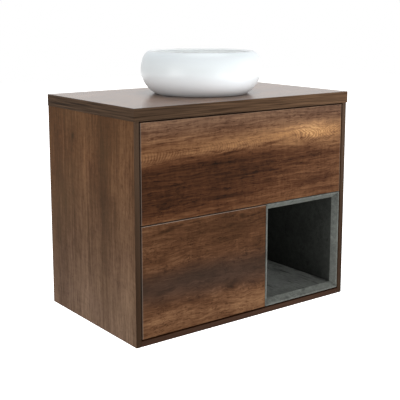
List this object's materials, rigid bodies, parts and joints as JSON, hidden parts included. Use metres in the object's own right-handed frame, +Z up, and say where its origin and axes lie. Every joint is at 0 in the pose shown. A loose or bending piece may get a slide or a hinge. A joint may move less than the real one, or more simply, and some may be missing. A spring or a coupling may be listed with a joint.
{
  "type": "vessel basin vanity",
  "caption": "Wall-hung bathroom vanity with push-open drawers, an open mitred niche, a worktop and a round vessel basin with its waste and trap.",
  "frame": {"origin": "middle of the hanging rail's back face, on the wall plane", "axes": "+X to the right as seen from the front, +Y into the wall, +Z up"},
  "size_m": [0.803, 0.491, 0.7944],
  "materials": {
    "oak_decor": "dark rustic oak laminate with fine pores, matt",
    "stone_decor": "grey stone-look laminate on board, matt",
    "ceramic": "white satin glaze",
    "box_board": "grey linen-look melamine board",
    "steel": "zinc-plated sheet steel",
    "chrome": "polished chrome on brass",
    "plastic": "light grey moulded plastic",
    "rubber": "black rubber"
  },
  "bodies": {
    "cabinet": {"side_panel_left": "oak_decor", "side_panel_right": "oak_decor", "bottom_panel": "oak_decor", "worktop": "oak_decor", "niche_floor": "stone_decor", "niche_wall_right": "stone_decor", "niche_ceiling": "stone_decor", "niche_wall_left": "stone_decor", "niche_back": "stone_decor", "front_rail": "box_board", "rear_lower_rail": "box_board", "rear_middle_rail": "box_board", "rear_hanging_rail": "box_board", "partition": "box_board", "niche_packer_below": "box_board", "niche_packer_side": "box_board", "slide_upper_left_cabinet": "steel", "slide_upper_right_cabinet": "steel", "slide_lower_left_cabinet": "steel", "slide_lower_right_cabinet": "steel", "hanger_left": "steel", "hanger_right": "steel", "wall_plate_left": "steel", "wall_plate_right": "steel", "waste_body": "chrome", "trap_inlet_nut": "chrome", "trap_body": "chrome", "trap_cup": "chrome", "trap_outlet_nut": "chrome", "trap_outlet_pipe": "chrome", "wall_rosette": "chrome", "waste_nut": "plastic", "basin_seal": "rubber", "waste_washer_upper": "rubber", "waste_washer_lower": "rubber", "basin": "ceramic"},
    "upper_drawer": {"upper_front": "oak_decor", "upper_side_left": "box_board", "upper_side_right": "box_board", "upper_back_left": "box_board", "upper_back_right": "box_board", "upper_bottom": "box_board", "trap_recess": "plastic", "slide_upper_left_drawer": "steel", "slide_upper_right_drawer": "steel"},
    "lower_drawer": {"lower_front": "oak_decor", "lower_side_left": "box_board", "lower_side_right": "box_board", "lower_back": "box_board", "lower_bottom": "box_board", "slide_lower_left_drawer": "steel", "slide_lower_right_drawer": "steel"},
    "slide_upper_left_middle": {"slide_upper_left_middle": "steel"},
    "slide_upper_right_middle": {"slide_upper_right_middle": "steel"},
    "slide_lower_left_middle": {"slide_lower_left_middle": "steel"},
    "slide_lower_right_middle": {"slide_lower_right_middle": "steel"},
    "waste_plug": {"waste_plug": "chrome"}
  },
  "joints": [
    {"name": "upper_drawer_slide", "type": "slide", "parent": "cabinet", "child": "upper_drawer", "axis": [0, -1, 0], "range_m": [-0.003, 0.4]},
    {"name": "lower_drawer_slide", "type": "slide", "parent": "cabinet", "child": "lower_drawer", "axis": [0, -1, 0], "range_m": [-0.003, 0.4]},
    {"name": "slide_upper_left_middle_run", "type": "slide", "parent": "cabinet", "child": "slide_upper_left_middle", "axis": [0, -1, 0], "range_m": [-0.0015, 0.2]},
    {"name": "slide_upper_right_middle_run", "type": "slide", "parent": "cabinet", "child": "slide_upper_right_middle", "axis": [0, -1, 0], "range_m": [-0.0015, 0.2]},
    {"name": "slide_lower_left_middle_run", "type": "slide", "parent": "cabinet", "child": "slide_lower_left_middle", "axis": [0, -1, 0], "range_m": [-0.0015, 0.2]},
    {"name": "slide_lower_right_middle_run", "type": "slide", "parent": "cabinet", "child": "slide_lower_right_middle", "axis": [0, -1, 0], "range_m": [-0.0015, 0.2]},
    {"name": "waste_plug_lift", "type": "slide", "parent": "cabinet", "child": "waste_plug", "axis": [0, 0, 1], "range_m": [0, 0.007]}
  ],
  "couplings": [
    {"joint": "slide_upper_left_middle_run", "follows": "upper_drawer_slide", "ratio": 0.5},
    {"joint": "slide_upper_right_middle_run", "follows": "upper_drawer_slide", "ratio": 0.5},
    {"joint": "slide_lower_left_middle_run", "follows": "lower_drawer_slide", "ratio": 0.5},
    {"joint": "slide_lower_right_middle_run", "follows": "lower_drawer_slide", "ratio": 0.5}
  ]
}
